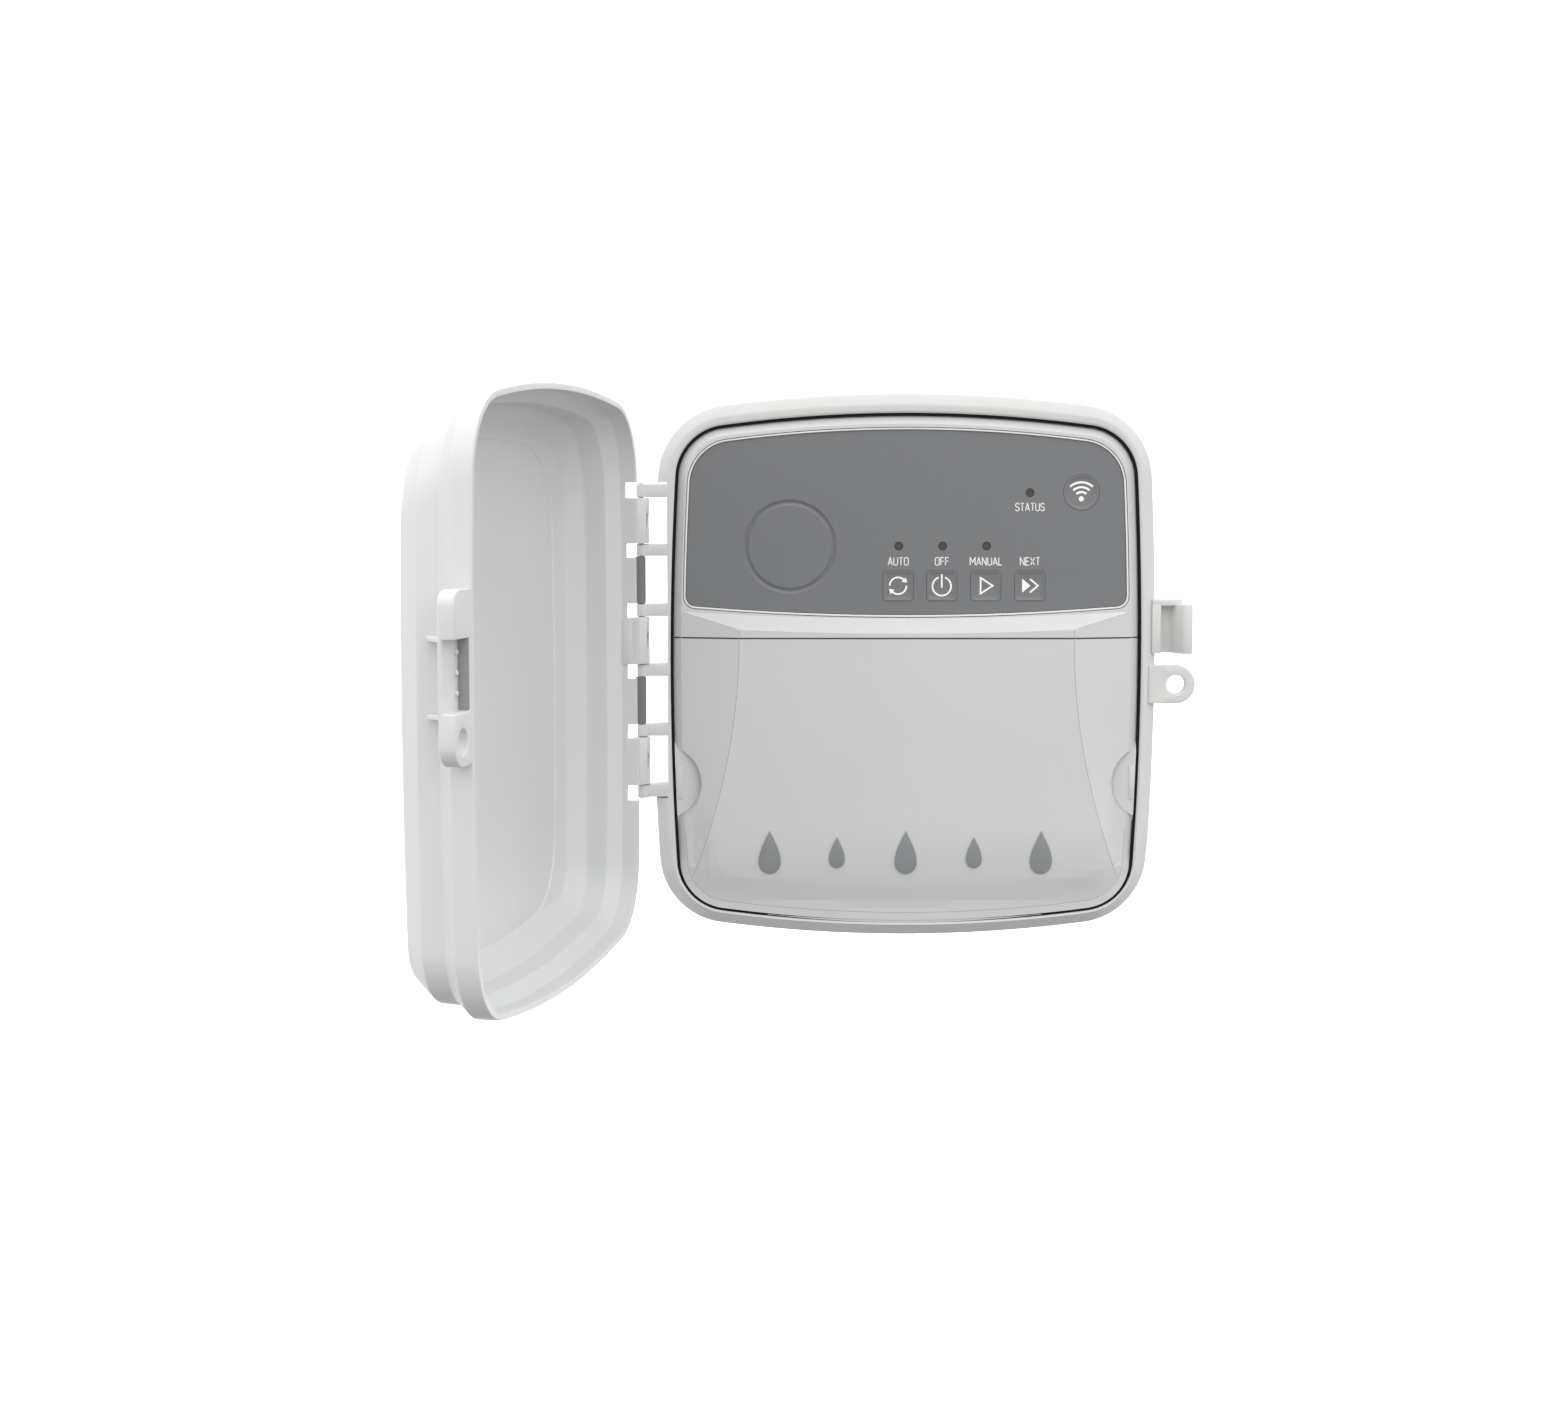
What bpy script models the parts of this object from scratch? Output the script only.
"""Outdoor irrigation controller: wall enclosure, hinged door, control module and wiring compartment.

Row frame: +X right, +Y into the wall, +Z up; the origin is on the wall face at the enclosure's centre.
Working numbers are millimetres; every mesh is scaled to metres at the end.
"""
import math

import bpy
import bmesh
from mathutils import Matrix, Vector

for o in list(bpy.data.objects):
    bpy.data.objects.remove(o, do_unlink=True)

# ---------------------------------------------------------------- driving dimensions (mm)
HALF_W = 93.4          # enclosure half width
HALF_H = 101.0         # enclosure half height
R_TOP, R_BOT, R_SIDE = 521.0, 519.0, 1250.0
RC_TOP, RC_BOT = 28.0, 26.0
RIM = -62.0            # front rim plane of the enclosure
FLANGE_BACK = -52.0    # back of the front flange
BODY_INSET = 5.0       # body is set in behind the flange
WALL_INSET = 7.4       # inner wall behind the flange
BACK_T = 3.0           # back wall thickness
GAP_OUT = 6.5          # inset of the rim's inner edge
MOD_INSET = 7.6        # inset of the module and the wiring cover
MOD_SHIFT = 0.6        # module sits this far to the right
SPLIT = 10.9           # height of the line between module and wiring cover
HX, HY = -97.5, RIM - 0.65   # hinge axis
DOOR_OPEN = 101.9      # degrees of opening as shown
EARS = [(67.7, 62.9), (45.6, 41.2), (23.4, 18.9), (1.1, -3.4), (-21.3, -25.8), (-43.9, -48.7)]
KEYS = {"auto": -2.4, "off": 13.8, "manual": 30.1, "next": 46.4}
KEY_Z = 30.1
KEY_HALF = 5.6
LED_Z = 44.8
LEDS = {"auto": (-2.2, LED_Z), "off": (14.0, LED_Z), "manual": (30.3, LED_Z), "status": (46.2, 64.5)}
WIFI = (65.2, 64.6)
WIFI_R = 6.6
RING = (-42.6, 44.6)
RING_R = 16.3
PCB_FRONT = -50.6
GAP = 0.3

# ---------------------------------------------------------------- outline
def quarter(a, b, rcap, rside, rc, inset, n):
    """Points of one quadrant (x>0, z>0) from the side apex to the cap apex."""
    ca, ra = (0.0, b - rcap), rcap - rc
    cb, rb = (a - rside, 0.0), rside - rc
    dx, dz = ca[0] - cb[0], ca[1] - cb[1]
    d = math.hypot(dx, dz)
    m = (rb * rb - ra * ra + d * d) / (2 * d)
    h = math.sqrt(max(0.0, rb * rb - m * m))
    px, pz = cb[0] + m * dx / d, cb[1] + m * dz / d
    best = None
    for s in (1, -1):
        q = (px - s * h * dz / d, pz + s * h * dx / d)
        if q[0] > 0 and q[1] > 0:
            best = q
    cc = best
    ns, nc, nt = n
    th_s = math.atan2(cc[1] - cb[1], cc[0] - cb[0])
    th_t = math.atan2(cc[1] - ca[1], cc[0] - ca[0])
    pts = []
    rs, rr, rt = rside - inset, rc - inset, rcap - inset
    for i in range(ns):
        t = th_s * i / ns
        pts.append((cb[0] + rs * math.cos(t), cb[1] + rs * math.sin(t)))
    for i in range(nc):
        t = th_s + (th_t - th_s) * i / nc
        pts.append((cc[0] + rr * math.cos(t), cc[1] + rr * math.sin(t)))
    for i in range(nt):
        t = th_t + (math.pi / 2 - th_t) * i / nt
        pts.append((ca[0] + rt * math.cos(t), ca[1] + rt * math.sin(t)))
    pts.append((0.0, ca[1] + rt))
    return pts


def loop(inset=0.0, a=HALF_W, bt=HALF_H, bb=HALF_H, rt=R_TOP, rb=R_BOT, rs=R_SIDE,
         ct=RC_TOP, cb=RC_BOT, shift=0.0, n=(3, 5, 3), cz=0.0):
    q1 = quarter(a, bt, rt, rs, ct, inset, n)
    q4 = quarter(a, bb, rb, rs, cb, inset, n)
    pts = q1[:-1]
    pts += [(-x, z) for x, z in reversed(q1)][:-1]
    pts += [(-x, -z) for x, z in q4[:-1]]
    pts += [(x, -z) for x, z in reversed(q4)][:-1]
    return [(x + shift, z + cz) for x, z in pts]


def clip(poly, z=None, keep="above"):
    out = []
    k = len(poly)
    sgn = 1 if keep == "above" else -1
    for i in range(k):
        p, q = poly[i], poly[(i + 1) % k]
        ip, iq = (p[1] - z) * sgn >= 0, (q[1] - z) * sgn >= 0
        if ip:
            out.append(p)
        if ip != iq:
            t = (z - p[1]) / (q[1] - p[1])
            out.append((p[0] + t * (q[0] - p[0]), z))
    clean = []
    for p in out:
        if not clean or math.dist(p, clean[-1]) > 0.05:
            clean.append(p)
    if math.dist(clean[0], clean[-1]) < 0.05:
        clean.pop()
    return clean


# ---------------------------------------------------------------- solids
def finish_mesh(bm, name):
    bmesh.ops.recalc_face_normals(bm, faces=bm.faces)
    me = bpy.data.meshes.new(name)
    bm.to_mesh(me)
    bm.free()
    ob = bpy.data.objects.new(name, me)
    bpy.context.scene.collection.objects.link(ob)
    return ob


def rings(name, stack):
    """Closed solid from a stack of loops of (x, y, z) points with equal counts, capped at both ends."""
    bm = bmesh.new()
    rows = [[bm.verts.new(p) for p in r] for r in stack]
    n = len(rows[0])
    for a, b in zip(rows, rows[1:]):
        for i in range(n):
            j = (i + 1) % n
            bm.faces.new((a[i], a[j], b[j], b[i]))
    bm.faces.new(rows[0])
    bm.faces.new(list(reversed(rows[-1])))
    return finish_mesh(bm, name)


def hoop(name, stack):
    """Closed ring solid: the last loop joins back to the first."""
    bm = bmesh.new()
    rows = [[bm.verts.new(p) for p in r] for r in stack]
    n = len(rows[0])
    for k in range(len(rows)):
        a, b = rows[k], rows[(k + 1) % len(rows)]
        for i in range(n):
            j = (i + 1) % n
            bm.faces.new((a[i], a[j], b[j], b[i]))
    return finish_mesh(bm, name)


def at(poly, y):
    return [(x, y, z) for x, z in poly]


def prism(name, poly, y0, y1):
    return rings(name, [at(poly, y0), at(poly, y1)])


def plan(name, poly, z0, z1):
    return rings(name, [[(x, y, z0) for x, y in poly], [(x, y, z1) for x, y in poly]])


def box(name, x0, x1, y0, y1, z0, z1):
    return prism(name, [(x0, z0), (x1, z0), (x1, z1), (x0, z1)], y0, y1)


def rbox(cx, cz, hx, hz, r, n=3):
    pts = []
    for sx, sz, a0 in ((1, 1, 0), (-1, 1, 90), (-1, -1, 180), (1, -1, 270)):
        for i in range(n + 1):
            t = math.radians(a0 + 90 * i / n)
            pts.append((cx + sx * (hx - r) + r * math.cos(t), cz + sz * (hz - r) + r * math.sin(t)))
    return pts


def disc(cx, cz, r, n=24):
    return [(cx + r * math.cos(2 * math.pi * i / n), cz + r * math.sin(2 * math.pi * i / n)) for i in range(n)]


def lathe(name, prof, origin, axis, n=20):
    """Solid of revolution; prof is a list of (radius, distance along axis), ends capped."""
    ax = Vector(axis).normalized()
    u = ax.orthogonal().normalized()
    v = ax.cross(u)
    o = Vector(origin)
    stack = []
    for r, t in prof:
        stack.append([o + ax * t + u * (r * math.cos(2 * math.pi * i / n)) + v * (r * math.sin(2 * math.pi * i / n))
                      for i in range(n)])
    return rings(name, stack)


def combine(ob, others, op):
    for k, c in enumerate(others):
        m = ob.modifiers.new("b%d" % k, "BOOLEAN")
        m.operation = op
        m.solver = "EXACT"
        m.object = c
    dg = bpy.context.evaluated_depsgraph_get()
    dg.update()
    me = bpy.data.meshes.new_from_object(ob.evaluated_get(dg))
    ob.modifiers.clear()
    ob.data = me
    for c in others:
        bpy.data.objects.remove(c, do_unlink=True)
    return ob


def cut(ob, *others):
    return combine(ob, list(others), "DIFFERENCE")


def add(ob, *others):
    return combine(ob, list(others), "UNION")


# ---------------------------------------------------------------- materials
MATS = {}


def mat(name, rgb, rough, metal=0.0):
    m = bpy.data.materials.new(name)
    m.use_nodes = True
    b = m.node_tree.nodes["Principled BSDF"]
    b.inputs["Base Color"].default_value = (*rgb, 1.0)
    b.inputs["Roughness"].default_value = rough
    b.inputs["Metallic"].default_value = metal
    MATS[name] = m
    return m


mat("enclosure_plastic", (0.62, 0.63, 0.61), 0.55)
mat("door_plastic", (0.66, 0.67, 0.66), 0.5)
mat("module_plastic", (0.52, 0.53, 0.53), 0.5)
mat("cover_plastic", (0.56, 0.56, 0.55), 0.5)
mat("overlay_film", (0.18, 0.185, 0.19), 0.45)
mat("key_plastic", (0.19, 0.195, 0.2), 0.45)
mat("light_pipe", (0.08, 0.08, 0.085), 0.3)
mat("seal_rubber", (0.015, 0.015, 0.015), 0.8)
mat("board_green", (0.02, 0.12, 0.05), 0.45)
mat("black_plastic", (0.03, 0.03, 0.032), 0.5)
mat("terminal_plastic", (0.04, 0.16, 0.08), 0.5)
mat("screw_steel", (0.55, 0.55, 0.56), 0.32, 1.0)
mat("shield_steel", (0.6, 0.6, 0.6), 0.28, 1.0)
mat("core_steel", (0.2, 0.2, 0.21), 0.5, 1.0)
mat("coil_tape", (0.55, 0.42, 0.08), 0.45)
mat("pin_steel", (0.2, 0.2, 0.2), 0.4, 1.0)
mat("sleeve_plastic", (0.12, 0.12, 0.12), 0.5)
mat("ribbon_grey", (0.4, 0.4, 0.42), 0.6)

NODES = []


def done(ob, name, material, smooth=True):
    """Scale to metres, clean, colour and shade one finished piece."""
    ob.name = name
    ob.data.name = name
    bm = bmesh.new()
    bm.from_mesh(ob.data)
    bmesh.ops.remove_doubles(bm, verts=bm.verts, dist=0.004)
    bmesh.ops.dissolve_degenerate(bm, edges=bm.edges, dist=0.002)
    bmesh.ops.triangulate(bm, faces=[f for f in bm.faces if len(f.verts) > 4])
    bmesh.ops.transform(bm, matrix=Matrix.Scale(0.001, 4), verts=bm.verts)
    bmesh.ops.recalc_face_normals(bm, faces=bm.faces)
    for e in bm.edges:
        e.smooth = len(e.link_faces) == 2 and e.calc_face_angle(0.0) < math.radians(32)
    for f in bm.faces:
        f.smooth = smooth
        f.material_index = 0
    bm.to_mesh(ob.data)
    bm.free()
    ob.data.materials.clear()
    ob.data.materials.append(MATS[material])
    NODES.append(ob)
    return ob


# ---------------------------------------------------------------- base enclosure
base = hoop("base", [
    at(loop(BODY_INSET), 0.0),
    at(loop(BODY_INSET), FLANGE_BACK),
    at(loop(0.6), FLANGE_BACK - 0.0),
    at(loop(0.0), FLANGE_BACK - 0.8),
    at(loop(0.0), RIM + 1.2),
    at(loop(1.2), RIM),
    at(loop(GAP_OUT, shift=MOD_SHIFT), RIM),
    at(loop(GAP_OUT, shift=MOD_SHIFT), FLANGE_BACK),
    at(loop(WALL_INSET), FLANGE_BACK),
    at(loop(WALL_INSET), 0.0),
])
# flange cut back beside the hinge
base = cut(base, box("c", -110, -88.0, RIM - 5, 5, EARS[-1][1] - 0.5, EARS[0][0] + 0.5))
ears = []
for zt, zb in EARS:
    ears.append(plan("ear", [
        (-87.3, RIM + 0.25), (-94.6, RIM + 0.25), (-95.6, HY - 1.1), (-96.5, HY - 1.75), (-98.4, HY - 1.75),
        (-99.2, HY - 0.9), (-99.2, HY + 1.4), (-98.4, HY + 2.4), (-93.2, RIM + 6.5), (-87.3, RIM + 8.5)], zb, zt))
base = add(base, *ears)
# snap hook
hook = plan("hook", [
    (93.7, RIM + 0.2), (95.0, RIM + 0.2), (95.0, RIM + 5.0), (98.4, RIM + 5.0), (99.6, RIM + 4.2), (102.8, RIM - 2.0),
    (104.0, RIM - 3.2), (106.0, RIM - 3.2), (106.5, RIM - 2.4), (106.5, RIM + 7.2), (93.7, RIM + 7.2)], 5.0, 23.0)
cap = plan("cap", [(93.7, RIM + 0.2), (98.6, RIM + 0.2), (103.4, RIM + 3.6), (103.4, RIM + 7.0), (93.7, RIM + 7.0)], 22.8, 25.1)
done(add(hook, cap), "snap_catch", "enclosure_plastic")
# padlock eye
eye_pts = [(93.7, 0.5), (101.1, 0.5)]
for i in range(1, 13):
    t = math.radians(90 - 180 * i / 12)
    eye_pts.append((101.1 + 7.1 * math.cos(t), -6.6 + 7.1 * math.sin(t)))
eye_pts.append((93.7, -13.7))
eye = cut(prism("eye", eye_pts, RIM + 0.1, RIM + 4.2), prism("h", disc(101.1, -6.6, 3.55), RIM - 1, RIM + 6))
done(eye, "padlock_eye", "enclosure_plastic")
# conduit bosses under the bottom wall
base = add(base, lathe("b1", [(13.0, 0), (13.0, 7.0)], (-46, -28, -99.3), (0, 0, 1), 28),
           lathe("b2", [(13.0, 0), (13.0, 7.0)], (46, -28, -99.3), (0, 0, 1), 28))
# back plate with module posts and board posts
back = prism("back", loop(WALL_INSET + 0.3), -BACK_T, 0.0)
posts = []
for x, z in ((-70, 22), (70, 22), (-62, 78), (62, 78)):
    posts.append(lathe("p", [(4.0, 0), (4.0, 33.2)], (x, -BACK_T + 0.5, z), (0, -1, 0), 16))
for x, z in ((-66, -28), (8, -28), (-66, -66), (8, -66)):
    posts.append(lathe("p", [(3.4, 0), (3.4, 7.1)], (x, -BACK_T + 0.5, z), (0, -1, 0), 14))
for z in (-8, -62):
    posts.append(lathe("p", [(4.0, 0), (4.0, 5.2)], (48, -BACK_T + 0.5, z), (0, -1, 0), 14))
base = cut(base,
           lathe("h1", [(11.0, 0), (11.0, 14.0)], (-46, -28, -101), (0, 0, 1), 28),
           lathe("h2", [(11.0, 0), (11.0, 14.0)], (46, -28, -101), (0, 0, 1), 28))
back = add(back, *posts)
back = cut(back,
           prism("k1", disc(0, 52, 5.2), -6, 2),
           prism("k2", rbox(0, 58, 2.7, 6.0, 2.6, 4), -6, 2),
           prism("k3", disc(-74, -74, 2.4, 16), -6, 2),
           prism("k4", disc(72, -74, 2.4, 16), -6, 2))
base = cut(base, lathe("pinhole", [(1.3, 0), (1.3, 118)], (HX, HY, -49.5), (0, 0, 1), 16))
holes = []
for z in (-8, -62):
    holes.append(lathe("s", [(1.5, 0), (1.5, 6)], (48, -BACK_T - 5.5, z), (0, 1, 0), 12))
back = cut(back, *holes)
done(base, "base_enclosure", "enclosure_plastic")
done(back, "back_plate", "enclosure_plastic")

done(hoop("rim_gasket", [
    at(loop(GAP_OUT + 0.3, shift=MOD_SHIFT), RIM + 1.8), at(loop(GAP_OUT + 0.8, shift=MOD_SHIFT), RIM + 1.8),
    at(loop(GAP_OUT + 0.8, shift=MOD_SHIFT), RIM + 6.0), at(loop(GAP_OUT + 0.3, shift=MOD_SHIFT), RIM + 6.0)]),
    "rim_gasket", "seal_rubber")

# ---------------------------------------------------------------- control module
MZ = SPLIT + 0.25
panel = loop(0.0, a=81.9, bt=87.5, bb=70, rt=508, rb=500, rs=1240, ct=16, cb=16, shift=MOD_SHIFT)
panel_top = clip(panel, 24.0, "above")


def panel_loop(grow=0.0, n=5):
    """Overlay outline: arched top, bottom edge bowed down."""
    top = clip(loop(-grow, a=81.9, bt=87.5, bb=70, rt=508, rb=500, rs=1240, ct=16, cb=16, shift=MOD_SHIFT),
               26.0, "above")
    left = min(p[0] for p in top)
    right = max(p[0] for p in top)
    body = [p for p in top if p[1] > 26.01]
    r = 3.6 + grow
    zl, zc = 22.6 - grow, 19.4 - grow
    bot = []
    for i in range(n + 1):
        t = math.radians(180 + 84 * i / n)
        bot.append((left + r + r * math.cos(t), zl + r + r * math.sin(t)))
    for i in range(1, 8):
        u = i / 8
        x = left + r + (right - left - 2 * r) * u
        bot.append((x, zl + (zc - zl) * (1 - (2 * u - 1) ** 2)))
    for i in range(n + 1):
        t = math.radians(276 + 84 * i / n)
        bot.append((right - r + r * math.cos(t), zl + r + r * math.sin(t)))
    return body + bot


def key_holes(extra, y0, y1):
    hs = [prism("k", rbox(x, KEY_Z, KEY_HALF + extra, KEY_HALF + extra, 1.2 + extra, 3), y0, y1) for x in KEYS.values()]
    hs.append(prism("k", disc(WIFI[0], WIFI[1], WIFI_R + extra, 28), y0, y1))
    hs += [prism("k", disc(x, z, 1.5 + extra, 16), y0, y1) for x, z in LEDS.values()]
    return hs


bez = prism("bezel", clip(loop(MOD_INSET, shift=MOD_SHIFT), MZ, "above"), RIM, RIM + 4.0)
bez = add(bez, prism("sk", clip(loop(MOD_INSET + 1.9, shift=MOD_SHIFT), MZ + 1.2, "above"), RIM + 2.0, -38.3))
bez = cut(bez, prism("in", clip(loop(MOD_INSET + 4.0, shift=MOD_SHIFT), MZ + 3.2, "above"), RIM + 4.0, -36.0))
bos = []
BOARD_SCREWS = [(-66, 20), (58, 20), (-62, 74), (50, 78)]
MODULE_SCREWS = [(-74.5, 30), (75.5, 30), (-40, 87), (41, 87)]
for x, z in BOARD_SCREWS:
    bos.append(lathe("p", [(3.0, 0), (3.0, 7.5)], (x, RIM + 3.6, z), (0, 1, 0), 16))
for x, z in MODULE_SCREWS:
    bos.append(lathe("p", [(2.9, 0), (2.9, 19.7)], (x, RIM + 3.6, z), (0, 1, 0), 16))
bez = add(bez, *bos)
bez = cut(bez, prism("rc", panel_loop(0.3), RIM - 1, RIM + 2.0))
bez = cut(bez, *key_holes(0.3, RIM - 1, RIM + 6))
bez = cut(bez, *([lathe("s", [(1.5, 0), (1.5, 6)], (x, -55.5, z), (0, 1, 0), 12) for x, z in BOARD_SCREWS]
                 + [lathe("s", [(1.5, 0), (1.5, 8)], (x, -44.5, z), (0, 1, 0), 12) for x, z in MODULE_SCREWS]))
done(bez, "module_bezel", "module_plastic")

mb = prism("mb", clip(loop(MOD_INSET + 1.9, shift=MOD_SHIFT), MZ + 1.2, "above"), -38.0, -36.0)
mb = cut(mb, box("rib", -14, 14, -40, -34, MZ + 4, MZ + 8))
mb = cut(mb, *[lathe("s", [(1.5, 0), (1.5, 6)], (x, -40, z), (0, 1, 0), 12) for x, z in MODULE_SCREWS])
done(mb, "module_back", "black_plastic")

ov = prism("ov", panel_loop(0.0), RIM + 0.7, RIM + 1.7)
ov = cut(ov, hoop("g", [at(disc(RING[0], RING[1], RING_R - 0.4, 40), RIM), at(disc(RING[0], RING[1], RING_R + 0.4, 40), RIM),
                        at(disc(RING[0], RING[1], RING_R + 0.4, 40), RIM + 1.1),
                        at(disc(RING[0], RING[1], RING_R - 0.4, 40), RIM + 1.1)]))
ov = cut(ov, *key_holes(0.3, RIM - 1, RIM + 3))
done(ov, "panel_overlay", "overlay_film")

for nm, x in KEYS.items():
    k = prism("k", rbox(x, KEY_Z, KEY_HALF, KEY_HALF, 1.2, 3), RIM + 1.0, RIM + 5.2)
    k = add(k, prism("f", rbox(x, KEY_Z, 6.9, 6.9, 0.8, 2), RIM + 4.3, RIM + 5.6),
            prism("s", rbox(x, KEY_Z, 1.5, 1.5, 0.3, 2), RIM + 5.0, RIM + 7.2))
    done(k, "key_" + nm, "key_plastic")
    done(add(prism("t", rbox(x, KEY_Z, 3.0, 3.0, 0.4, 2), -53.0, -50.9),
             lathe("pl", [(1.6, 0), (1.6, 1.2)], (x, -53.9, KEY_Z), (0, 1, 0), 14)), "tact_" + nm, "black_plastic")
kw = lathe("k", [(WIFI_R, 0), (WIFI_R, 3.3), (7.9, 3.3), (7.9, 4.6), (1.6, 4.6), (1.6, 6.2)],
           (WIFI[0], RIM + 1.0, WIFI[1]), (0, 1, 0), 28)
done(kw, "key_wifi", "key_plastic")
done(add(prism("t", rbox(WIFI[0], WIFI[1], 3.0, 3.0, 0.4, 2), -53.0, -50.9),
         lathe("pl", [(1.6, 0), (1.6, 1.2)], (WIFI[0], -53.9, WIFI[1]), (0, 1, 0), 14)), "tact_wifi", "black_plastic")
for nm, (x, z) in LEDS.items():
    done(lathe("l", [(1.5, 0), (1.5, 3.3), (2.1, 3.3), (2.1, 4.2), (1.5, 4.2), (1.5, 10.1)],
               (x, RIM + 1.0, z), (0, 1, 0), 16), "led_" + nm, "light_pipe")

pcb = prism("pcb", rbox(0, 48.6, 71.5, 33.2, 8.0, 4), PCB_FRONT, PCB_FRONT + 1.6)
pcb = cut(pcb, *[prism("h", disc(x, z, 1.5, 12), -55, -45) for x, z in BOARD_SCREWS])
done(pcb, "main_board", "board_green")
done(prism("w", rbox(-36, 66, 9, 12, 0.6, 2), -53.6, -50.9), "wifi_module", "shield_steel")
done(lathe("c", [(9.6, 0), (10.0, 0.4), (10.0, 3.2), (9.6, 3.6)], (20, -48.7, 62), (0, 1, 0), 24), "coin_cell", "screw_steel")


def screw(name, x, z, y_head, shank, hr=2.6, hh=1.6, sr=1.2):
    """Pan screw driven toward -Y; y_head is the underside of the head."""
    s = lathe("s", [(hr * 0.7, hh), (hr, hh * 0.6), (hr, 0), (sr, 0), (sr, -shank)], (x, y_head, z), (0, 1, 0), 14)
    s = cut(s, box("sl", x - hr * 1.2, x + hr * 1.2, y_head + hh * 0.55, y_head + hh + 1, z - 0.35, z + 0.35))
    return done(s, name, "screw_steel")


for i, (x, z) in enumerate(BOARD_SCREWS, 1):
    screw("board_screw_%d" % i, x, z, PCB_FRONT + 1.9, 5.0)
for i, (x, z) in enumerate(MODULE_SCREWS, 1):
    screw("module_screw_%d" % i, x, z, -35.7, 7.0, hr=2.4, hh=1.4)

# ---------------------------------------------------------------- wiring cover
CZ = SPLIT - 0.25


def cover_loop(inset):
    return clip(loop(inset, shift=MOD_SHIFT), CZ, "below")


cv = prism("cv", cover_loop(MOD_INSET), RIM, RIM + 2.6)
cv = add(cv, prism("sk", clip(loop(MOD_INSET + 1.9, shift=MOD_SHIFT), CZ - 1.2, "below"), RIM + 1.4, RIM + 12.0))
cv = cut(cv, prism("in", clip(loop(MOD_INSET + 4.0, shift=MOD_SHIFT), CZ - 3.2, "below"), RIM + 2.4, RIM + 13.0))
# raised centre field with concave sides
fieldL = [(-61.0, 9.4), (-62.6, -19.8), (-67.9, -49.9), (-76.6, -76.3), (-74.6, -84.6)]
fieldB = [(-40, -89.4), (0.5, -91.2), (41, -89.4)]
fieldR = [(75.4, -84.6), (77.6, -75.6), (71.6, -57.4), (65.6, -27.3), (62.2, 9.4)]
cv = add(cv, prism("fl", fieldL + fieldB + fieldR, RIM - 0.8, RIM + 1.0))
# thumb scallops
for cx, s in ((-86.6, -1), (87.8, 1)):
    cv = cut(cv, lathe("t", [(9.0, 0), (11.5, -2.2)], (cx, RIM + 1.4, -43.4), (0, 1, 0), 28))
cv = add(cv, box("tl", -85.0, -80.0, RIM + 0.1, RIM + 1.5, -49.0, -37.0), box("tr", 81.0, 86.2, RIM + 0.1, RIM + 1.5, -49.0, -37.0))
done(cv, "wiring_cover", "cover_plastic")

# ---------------------------------------------------------------- wiring compartment
tb = prism("tb", rbox(-29, -46, 43, 27, 3, 3), -11.4, -9.8 - 0.1)
tb = cut(tb, *[prism("h", disc(x, z, 1.6, 12), -14, -6) for x, z in ((-66, -28), (8, -28), (-66, -66), (8, -66))])
done(tb, "terminal_board", "board_green")
TX = [-65 + 8 * i for i in range(10)]
ts = box("ts", -70, 12, -26.0, -11.7, -62, -50)
ts = add(ts, box("st", -70, 12, -19.0, -11.7, -66, -58))
cuts = []
for x in TX:
    cuts.append(lathe("h", [(2.6, 0), (2.6, 6)], (x, -27.0, -56), (0, 1, 0), 14))
    cuts.append(box("w", x - 2.4, x + 2.4, -17.6, -12.8, -68, -60))
ts = cut(ts, *cuts)
done(ts, "terminal_strip", "terminal_plastic")
for i, x in enumerate(TX, 1):
    s = lathe("s", [(2.2, 0), (2.2, 2.6), (1.4, 2.6), (1.4, 3.8)], (x, -25.1, -56), (0, 1, 0), 12)
    s = cut(s, box("sl", x - 3, x + 3, -26, -24.4, -56.35, -55.65))
    done(s, "terminal_screw_%d" % i, "screw_steel")

TCX, TCZ, TCY = 48.0, -35.0, -27.0
core = box("core", TCX - 25, TCX + 25, TCY - 9, TCY + 9, TCZ - 21, TCZ + 21)
core = cut(core, box("w1", TCX - 20, TCX - 8, TCY - 20, TCY + 20, TCZ - 13.5, TCZ + 13.5),
           box("w2", TCX + 8, TCX + 20, TCY - 20, TCY + 20, TCZ - 13.5, TCZ + 13.5))
done(core, "transformer_core", "core_steel", smooth=False)
coil = prism("coil", rbox(TCX, TCZ, 19.7, 13.2, 1.0, 2), TCY - 15.5, TCY + 15.5)
coil = cut(coil, box("c", TCX - 8.3, TCX + 8.3, TCY - 9.3, TCY + 9.3, TCZ - 20, TCZ + 20))
done(coil, "transformer_coil", "coil_tape", smooth=False)
br = box("br", TCX - 26.8, TCX + 26.8, -9.5, -8.0, TCZ - 31, TCZ + 31)
br = add(br, box("b1", TCX - 26.8, TCX - 25.3, -33.0, -8.2, TCZ - 14, TCZ + 14),
         box("b2", TCX + 25.3, TCX + 26.8, -33.0, -8.2, TCZ - 14, TCZ + 14))
br = cut(br, prism("h", disc(48, -8, 1.6, 12), -12, -4), prism("h", disc(48, -62, 1.6, 12), -12, -4))
done(br, "transformer_bracket", "screw_steel", smooth=False)
for i, z in enumerate((-8, -62), 1):
    s = lathe("s", [(2.6, 0), (2.6, 1.6), (1.2, 1.6), (1.2, 6.2)], (48, -11.4, z), (0, 1, 0), 14)
    s = cut(s, box("sl", 44, 52, -12, -10.8, z - 0.35, z + 0.35))
    done(s, "transformer_screw_%d" % i, "screw_steel")
mt = box("mt", 32, 64, -22.0, -3.3, -84, -71)
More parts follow.
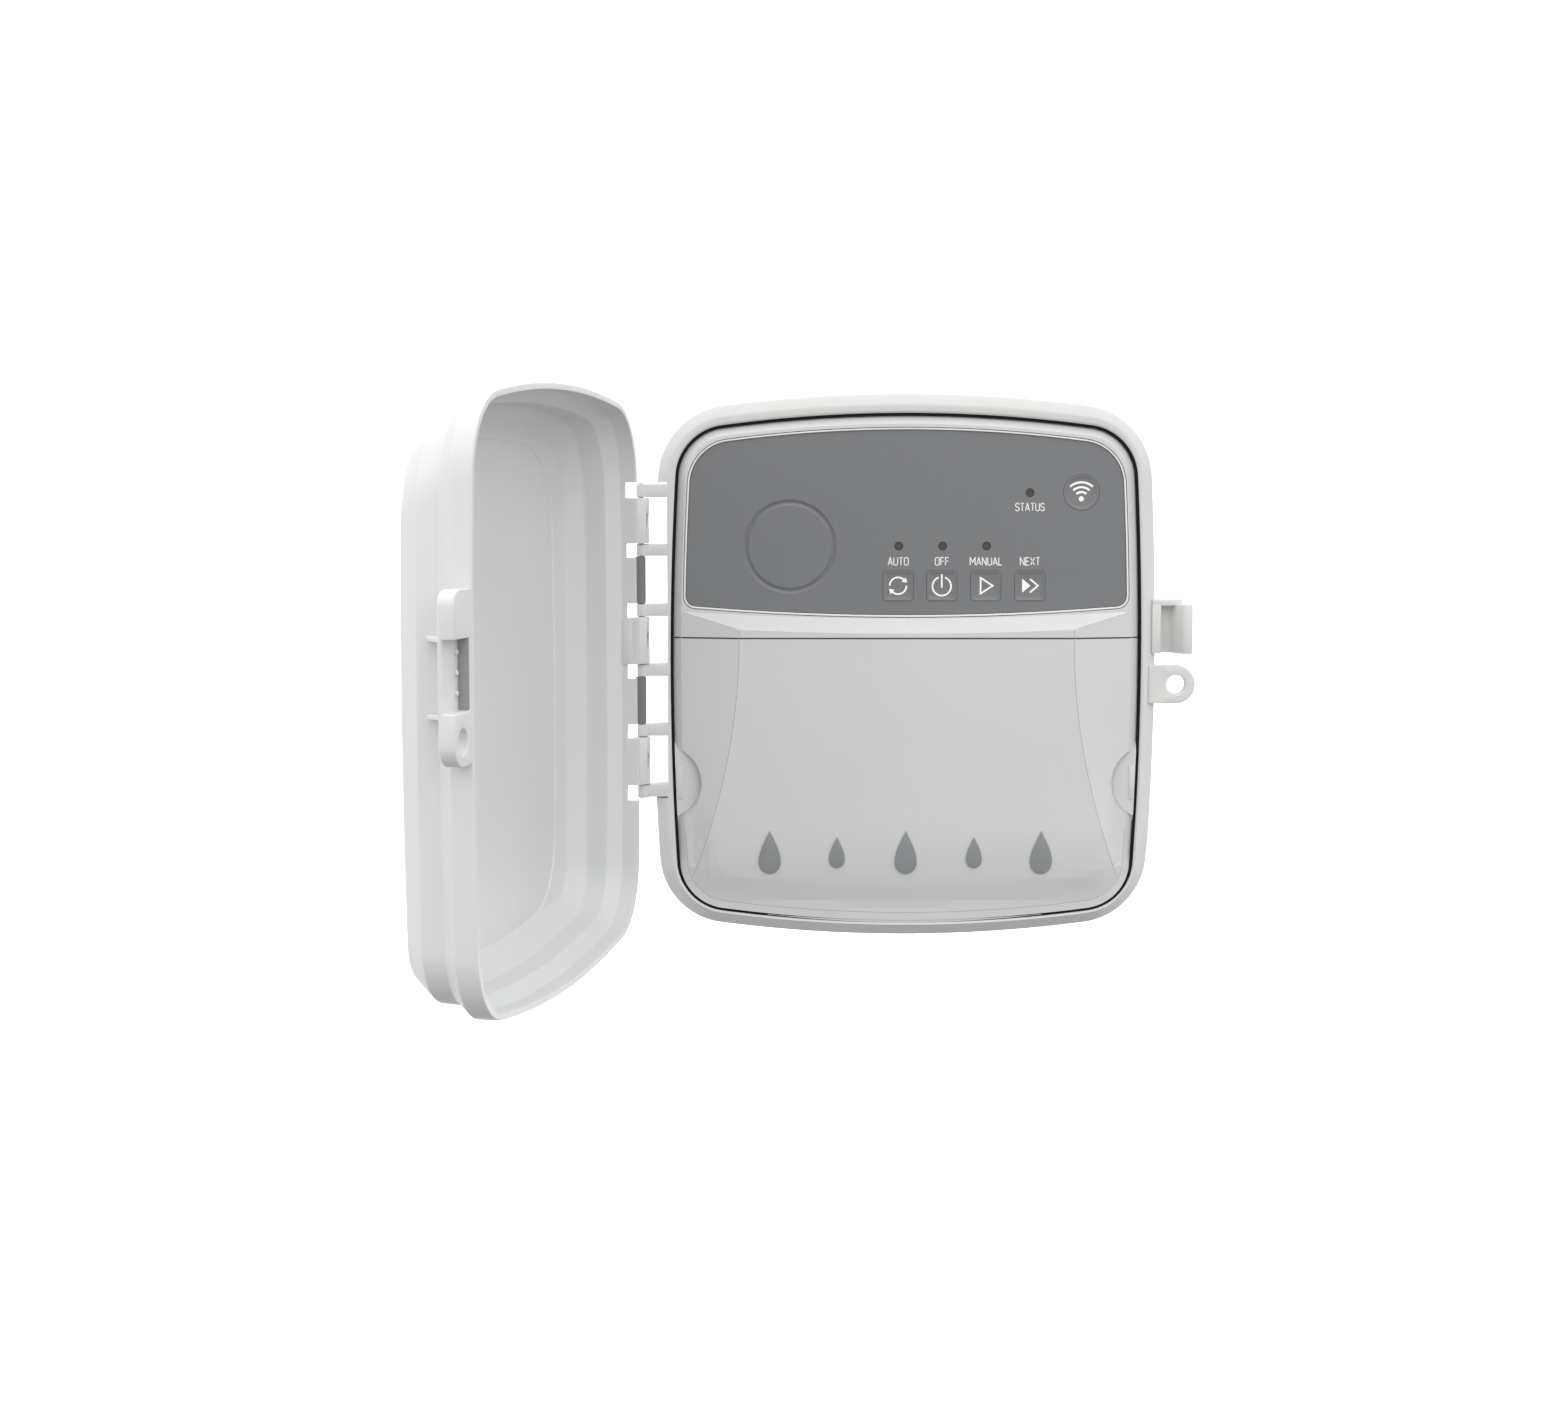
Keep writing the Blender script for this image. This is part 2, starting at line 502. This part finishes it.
mt = cut(mt, *[lathe("h", [(2.8, 0), (2.8, 8)], (x, -23, -77.5), (0, 1, 0), 14) for x in (38, 48, 58)])
done(mt, "mains_terminal", "black_plastic")
done(lathe("cp", [(9.0, 0), (10.6, 0.6), (10.6, 8.6), (9.0, 8.6), (9.0, 2.4)], (-46, -28, -101.0), (0, 0, 1), 28)
     if False else
     lathe("cp", [(12.6, 0), (12.6, 1.2), (10.6, 1.2), (10.6, 8.8)], (-46, -28, -100.8), (0, 0, 1), 28),
     "conduit_plug", "enclosure_plastic")
rb = rings("rib", [
    [(-10, -44.6, MZ + 5.2), (10, -44.6, MZ + 5.2), (10, -44.6, MZ + 6.2), (-10, -44.6, MZ + 6.2)],
    [(-10, -31.4, MZ + 5.2), (10, -31.4, MZ + 5.2), (10, -30.4, MZ + 6.2), (-10, -30.4, MZ + 6.2)],
    [(-18, -15.0, -22.5), (2, -15.0, -22.5), (2, -14.0, -22.5), (-18, -14.0, -22.5)],
    [(-18, -15.0, -30.0), (2, -15.0, -30.0), (2, -14.0, -30.0), (-18, -14.0, -30.0)]])
done(rb, "ribbon_cable", "ribbon_grey", smooth=False)
done(box("hd", -20, 4, -13.6, -11.7, -32, -24), "ribbon_socket", "black_plastic", smooth=False)

# ---------------------------------------------------------------- hinge hardware
pin = lathe("pin", [(1.0, 0), (1.0, 116.9)], (HX, HY, -48.9), (0, 0, 1), 16)
done(pin, "hinge_pin", "pin_steel")


def tube(name, r0, r1, z0, z1, n=20):
    def ring(r, z):
        return [(HX + r * math.cos(2 * math.pi * i / n), HY + r * math.sin(2 * math.pi * i / n), z) for i in range(n)]
    return hoop(name, [ring(r0, z0), ring(r1, z0), ring(r1, z1), ring(r0, z1)])


done(tube("sl", 1.25, 1.7, EARS[2][0] + 0.3, EARS[1][1] - 0.3), "hinge_sleeve_upper", "sleeve_plastic")
done(tube("sl", 1.25, 1.7, EARS[4][0] + 0.3, EARS[3][1] - 0.3), "hinge_sleeve_lower", "sleeve_plastic")

# ---------------------------------------------------------------- door (modelled closed, then swung open)
def dy(d):
    return RIM - d


P_OUT = dict(a=70.0, bt=84.0, bb=87.0, rt=500, rb=500, rs=1200, ct=24, cb=26)
door = rings("door", [
    at(loop(0.0, **P_OUT), dy(27.6)),
    at(loop(11.0), dy(26.6)),
    at(loop(4.5), dy(19.5)),
    at(loop(4.0), dy(12.0)),
    at(loop(0.0), dy(7.5)),
    at(loop(0.0), dy(0.3)),
    at(loop(2.2), dy(0.3)),
    at(loop(2.2), dy(6.3)),
    at(loop(6.3), dy(11.0)),
    at(loop(6.8), dy(18.7)),
    at(loop(12.6), dy(24.6)),
    at(loop(0.0, **P_OUT), dy(25.5)),
])
notches = [box("n", -97, -90.5, dy(4.8), dy(-1.0), zb - 0.4, zt + 0.4) for zt, zb in EARS]
notches.append(box("n", -97, -90.5, dy(2.4), dy(-1.0), EARS[2][0], EARS[1][1]))
notches.append(box("n", -97, -90.5, dy(2.4), dy(-1.0), EARS[4][0], EARS[3][1]))
door = cut(door, *notches)
kn = []
for (a, b) in ((0, 1), (2, 3), (4, 5)):
    z0, z1 = EARS[b][0] + 0.3, EARS[a][1] - 0.3
    pts = []
    for i in range(0, 14):
        t = math.radians(90 + 270 * i / 13)
        pts.append((HX + 3.0 * math.cos(t), HY + 3.0 * math.sin(t)))
    # barrel plus web to the flange wall
    ring = [(HX + 3.0 * math.cos(math.radians(t)), HY + 3.0 * math.sin(math.radians(t))) for t in range(-90, -360, -18)]
    web = [(-92.4, dy(3.65)), (-92.4, dy(0.32)), (HX + 2.6, dy(0.32))]
    kn.append(plan("kn", [(HX + 3.0 * math.cos(math.radians(t)), HY + 3.0 * math.sin(math.radians(t)))
                          for t in range(0, 360, 18)], z0, z1))
    kn.append(plan("wb", [(HX, HY - 3.0), (-92.2, HY - 3.0), (-92.2, dy(0.32)), (HX + 2.0, dy(0.32)), (HX, HY)], z0, z1))
door = add(door, *kn)
door = cut(door, lathe("bore", [(1.3, 0), (1.3, 120)], (HX, HY, -50), (0, 0, 1), 16))
# snap tab with its window and the padlock eye
tab = [(92.2, 38.0), (104.2, 38.0), (106.6, 37.0), (107.8, 34.6), (108.2, 31.0)]
for i in range(0, 10):
    t = math.radians(0 - 90 * i / 9)
    tab.append((101.1 + 7.1 * math.cos(t), -6.9 + 7.1 * math.sin(t)))
tab.append((92.2, -14.0))
tabs = prism("tab", tab, dy(0.5), dy(5.7))
tabs = cut(tabs, box("w", 94.6, 110, dy(-1), dy(4.3), 2.0, 24.0), prism("h", disc(101.1, -6.6, 4.0), dy(-1), dy(8)))
door = add(door, tabs)
fins = []
for zc, xo in ((23.0, 104.0), (-0.4, 99.0)):
    fins.append(plan("fin", [(88.2, dy(4.6)), (xo, dy(4.6)), (xo - 1.0, dy(6.8)), (91.2, dy(15.4)), (88.2, dy(15.4))],
                     zc - 0.7, zc + 0.7))
door = add(door, *fins)
done(door, "door_shell", "door_plastic")

axis = bpy.data.objects.new("door_axis", None)
axis.location = (HX * 0.001, HY * 0.001, 0.0)
bpy.context.scene.collection.objects.link(axis)
door.data.transform(Matrix.Translation((-HX * 0.001, -HY * 0.001, 0.0)))
door.parent = axis
axis.rotation_euler = (0.0, 0.0, -math.radians(DOOR_OPEN))
bpy.context.view_layer.update()
